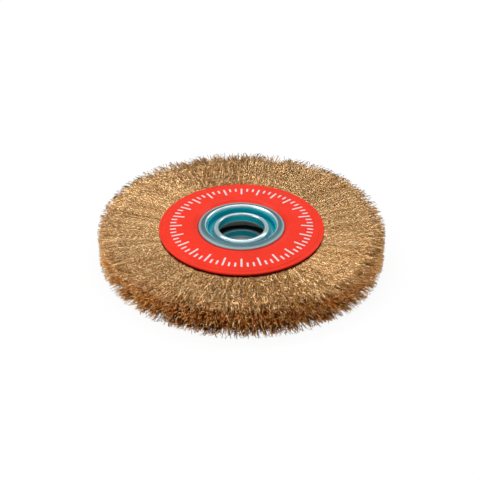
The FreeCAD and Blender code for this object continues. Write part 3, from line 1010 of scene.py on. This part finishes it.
class BRUSH_OT_hub_plating(Operator):
    """Plate the eyelet and the reducers with zinc"""

    bl_idname = "brush.hub_plating"
    bl_label = "Hub Plating"

    def execute(self, context):
        settings = context.scene.brush_hub
        dress("arbor_eyelet", eyelet_zinc(settings))
        zinc = reducer_zinc(settings)
        dress("upper_bore_reducer", zinc)
        dress("lower_bore_reducer", zinc)
        dress("core_ring", drawn_steel(settings))
        return {"FINISHED"}


# The stage

def floor_material(settings):
    """A white floor that keeps a soft part of the brush's shadow, and all of it under the hub."""
    recipe = Recipe("studio_floor")
    path = recipe.add("ShaderNodeLightPath").outputs
    radius = recipe.round_places()[0]
    shiny = recipe.math("MAXIMUM", path["Is Glossy Ray"], path["Is Transmission Ray"])
    shiny = recipe.math("MULTIPLY", shiny, recipe.ramp(radius, BRUSH_RADIUS, 2 * BRUSH_RADIUS))
    clear = recipe.math("MAXIMUM", recipe.ramp(radius, PLATE_RADIUS, BRUSH_RADIUS), HUB_GLOW)
    seen = recipe.math("MULTIPLY", path["Is Camera Ray"], clear)
    amount = recipe.math("MULTIPLY", recipe.math("MAXIMUM", seen, shiny), FLOOR_GLOW)
    glow = recipe.add("ShaderNodeEmission", {"Color": (1, 1, 1, 1), "Strength": 1.0}).outputs[0]
    lit = recipe.add("ShaderNodeMixShader", {0: amount, 1: recipe.shader.outputs[0], 2: glow})
    recipe.feed(recipe.tree.nodes["Material Output"].inputs["Surface"], lit.outputs[0])
    return recipe.finish(Base_Color=settings.floor, Roughness=0.9)


def studio_sky(settings):
    """Even light from all round; the camera and metal see a white backdrop below a darker ceiling."""
    world = bpy.data.worlds.new("studio_sky")
    bpy.context.scene.world = world
    world.use_nodes = True
    nodes = Nodes(world.node_tree)
    path = nodes.add("ShaderNodeLightPath").outputs
    shiny = nodes.math("MAXIMUM", path["Is Glossy Ray"], path["Is Transmission Ray"])
    places = nodes.add("ShaderNodeTexCoord").outputs["Generated"]
    height = nodes.add("ShaderNodeSeparateXYZ", {"Vector": places}).outputs["Z"]
    overhead = nodes.ramp(height, BACKDROP_TOP, CEILING_FROM, settings.backdrop, settings.ceiling)
    unseen = nodes.blend(shiny, settings.sky, overhead)
    strength = nodes.blend(path["Is Camera Ray"], unseen, 1.0)
    background = nodes.tree.nodes["Background"].inputs
    nodes.feed(background["Color"], (1, 1, 1, 1))
    nodes.feed(background["Strength"], strength)


def softbox(name, place, size, power):
    """A lamp of a width and a height at a place, turned to the brush's middle."""
    lamp = bpy.data.lights.new(name, "AREA")
    lamp.shape = "RECTANGLE"
    lamp.size, lamp.size_y = size
    lamp.energy = power
    holder = bpy.data.objects.new(name, lamp)
    bpy.context.scene.collection.objects.link(holder)
    holder.location = place
    holder.rotation_euler = (-holder.location).to_track_quat("-Z", "Y").to_euler()


def front_camera(settings):
    """The camera in front of the brush, looking down at its middle."""
    camera = bpy.data.cameras.new("camera")
    camera.lens = settings.lens
    camera.shift_x = PICTURE_SHIFT_X / PICTURE_SIDE
    camera.shift_y = PICTURE_SHIFT_Y / PICTURE_SIDE
    holder = bpy.data.objects.new("camera", camera)
    bpy.context.scene.collection.objects.link(holder)
    back, up = math.cos(settings.elevation), math.sin(settings.elevation)
    holder.location = (0, -settings.distance * back, settings.distance * up)
    holder.rotation_euler = (math.pi / 2 - settings.elevation, 0, 0)
    bpy.context.scene.camera = holder


class BRUSH_OT_stage(Operator):
    """Set the floor, the lamps and the camera"""

    bl_idname = "brush.stage"
    bl_label = "Stage"

    def execute(self, context):
        settings = context.scene.brush_stage
        start_fresh()
        bpy.ops.mesh.primitive_plane_add(size=FLOOR_SIZE, location=(0, 0, FLOOR_HEIGHT))
        floor = bpy.context.object
        floor.name = "floor"
        floor.data.materials.append(floor_material(settings))
        studio_sky(settings)
        for name, place, size, power, part in LAMPS:
            softbox(name, place, size, part * getattr(settings, power))
        front_camera(settings)
        context.scene.view_settings.view_transform = "Standard"
        return {"FINISHED"}


# The add-on

class BRUSH_PT_panel(Panel):
    """The brush's settings and steps"""

    bl_idname = "BRUSH_PT_panel"
    bl_label = "Wire Brush"
    bl_space_type = "VIEW_3D"
    bl_region_type = "UI"
    bl_category = "Wire Brush"

    def draw(self, context):
        for key, group, steps in STEPS:
            box = self.layout.box()
            for name in group.__annotations__:
                box.prop(getattr(context.scene, key), name)
            for step in steps:
                box.operator(step.bl_idname)


STEPS = (
    ("brush_wire", BrushWireSettings, (BRUSH_OT_wire_fill,)),
    ("brush_plates", BrushPlateSettings, (BRUSH_OT_plate_paint, BRUSH_OT_plate_print)),
    ("brush_hub", BrushHubSettings, (BRUSH_OT_hub_plating,)),
    ("brush_stage", BrushStageSettings, (BRUSH_OT_stage,)),
)


def register():
    """Adds the settings, the steps and the panel."""
    for key, group, steps in STEPS:
        bpy.utils.register_class(group)
        setattr(bpy.types.Scene, key, PointerProperty(type=group))
        for step in steps:
            bpy.utils.register_class(step)
    bpy.utils.register_class(BRUSH_PT_panel)


def unregister():
    """Takes the panel, the steps and the settings away."""
    bpy.utils.unregister_class(BRUSH_PT_panel)
    for key, group, steps in reversed(STEPS):
        for step in reversed(steps):
            bpy.utils.unregister_class(step)
        delattr(bpy.types.Scene, key)
        bpy.utils.unregister_class(group)


def main():
    """Runs every step in order."""
    register()
    bpy.ops.brush.wire_fill()
    bpy.ops.brush.plate_paint()
    bpy.ops.brush.plate_print()
    bpy.ops.brush.hub_plating()
    bpy.ops.brush.stage()


if __name__ == "__main__":
    main()
